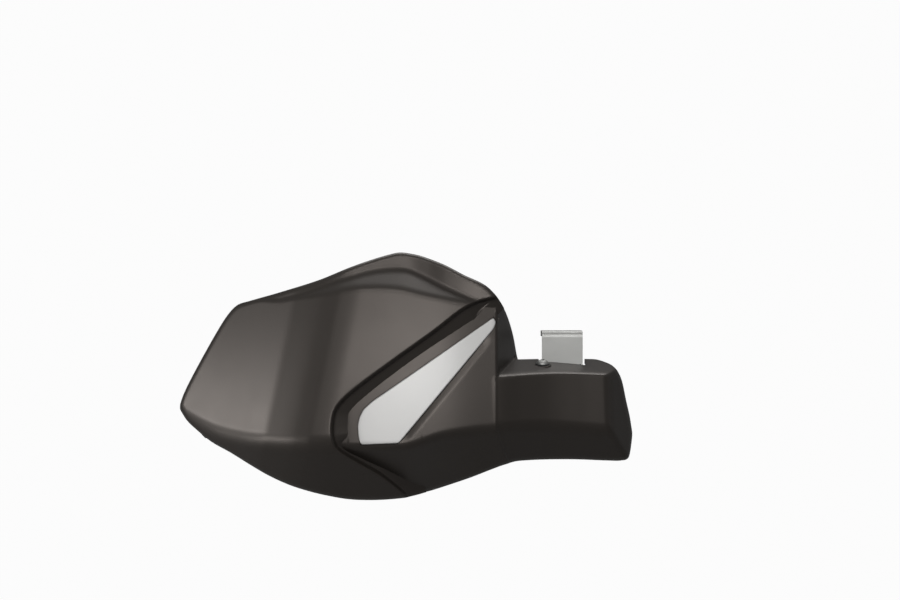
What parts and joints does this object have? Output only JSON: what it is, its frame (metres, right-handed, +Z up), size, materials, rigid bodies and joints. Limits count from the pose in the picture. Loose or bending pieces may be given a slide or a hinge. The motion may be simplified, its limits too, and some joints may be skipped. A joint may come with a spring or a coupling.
{
  "type": "motorcycle hand guard",
  "caption": "Right-hand motorcycle hand guard: a black moulded blade with a silver insert, fixed by a bar-end weight and a mirror-stem bracket.",
  "frame": {"origin": "on the handlebar's axis, at the end face of the handlebar tube", "axes": "+X along the handlebar towards the centre of the motorcycle, +Y towards the rider, so the guard's outside faces -Y, +Z up"},
  "size_m": [0.2835, 0.1081, 0.153],
  "materials": {
    "guard_shell": "satin black moulded plastic with a fine grain",
    "silver_insert": "silver lacquer, satin",
    "push_on_clips": "phosphated spring steel",
    "top_screw": "stainless",
    "top_washer": "black zinc plated",
    "screw_sleeve": "zinc plated",
    "rubber_pad": "black EPDM",
    "mirror_bracket": "bright zinc plated pressed steel",
    "clinch_nut": "yellow zinc plated",
    "bar_end_bolt": "zinc plated",
    "bolt_washer": "zinc plated",
    "bar_end_weight": "steel, satin black",
    "outer_rubber_washer": "black EPDM",
    "ear_sleeve": "zinc plated",
    "inner_rubber_washer": "black EPDM",
    "bar_end_spacer": "turned, clear anodised",
    "expander_sleeve": "turned",
    "expander_cone": "turned"
  },
  "bodies": {
    "root": {"guard_shell": "guard_shell", "silver_insert": "silver_insert", "push_on_clips": "push_on_clips", "top_screw": "top_screw", "top_washer": "top_washer", "screw_sleeve": "screw_sleeve", "rubber_pad": "rubber_pad", "mirror_bracket": "mirror_bracket", "clinch_nut": "clinch_nut", "bar_end_bolt": "bar_end_bolt", "bolt_washer": "bolt_washer", "bar_end_weight": "bar_end_weight", "outer_rubber_washer": "outer_rubber_washer", "ear_sleeve": "ear_sleeve", "inner_rubber_washer": "inner_rubber_washer", "bar_end_spacer": "bar_end_spacer", "expander_sleeve": "expander_sleeve", "expander_cone": "expander_cone"}
  },
  "joints": []
}
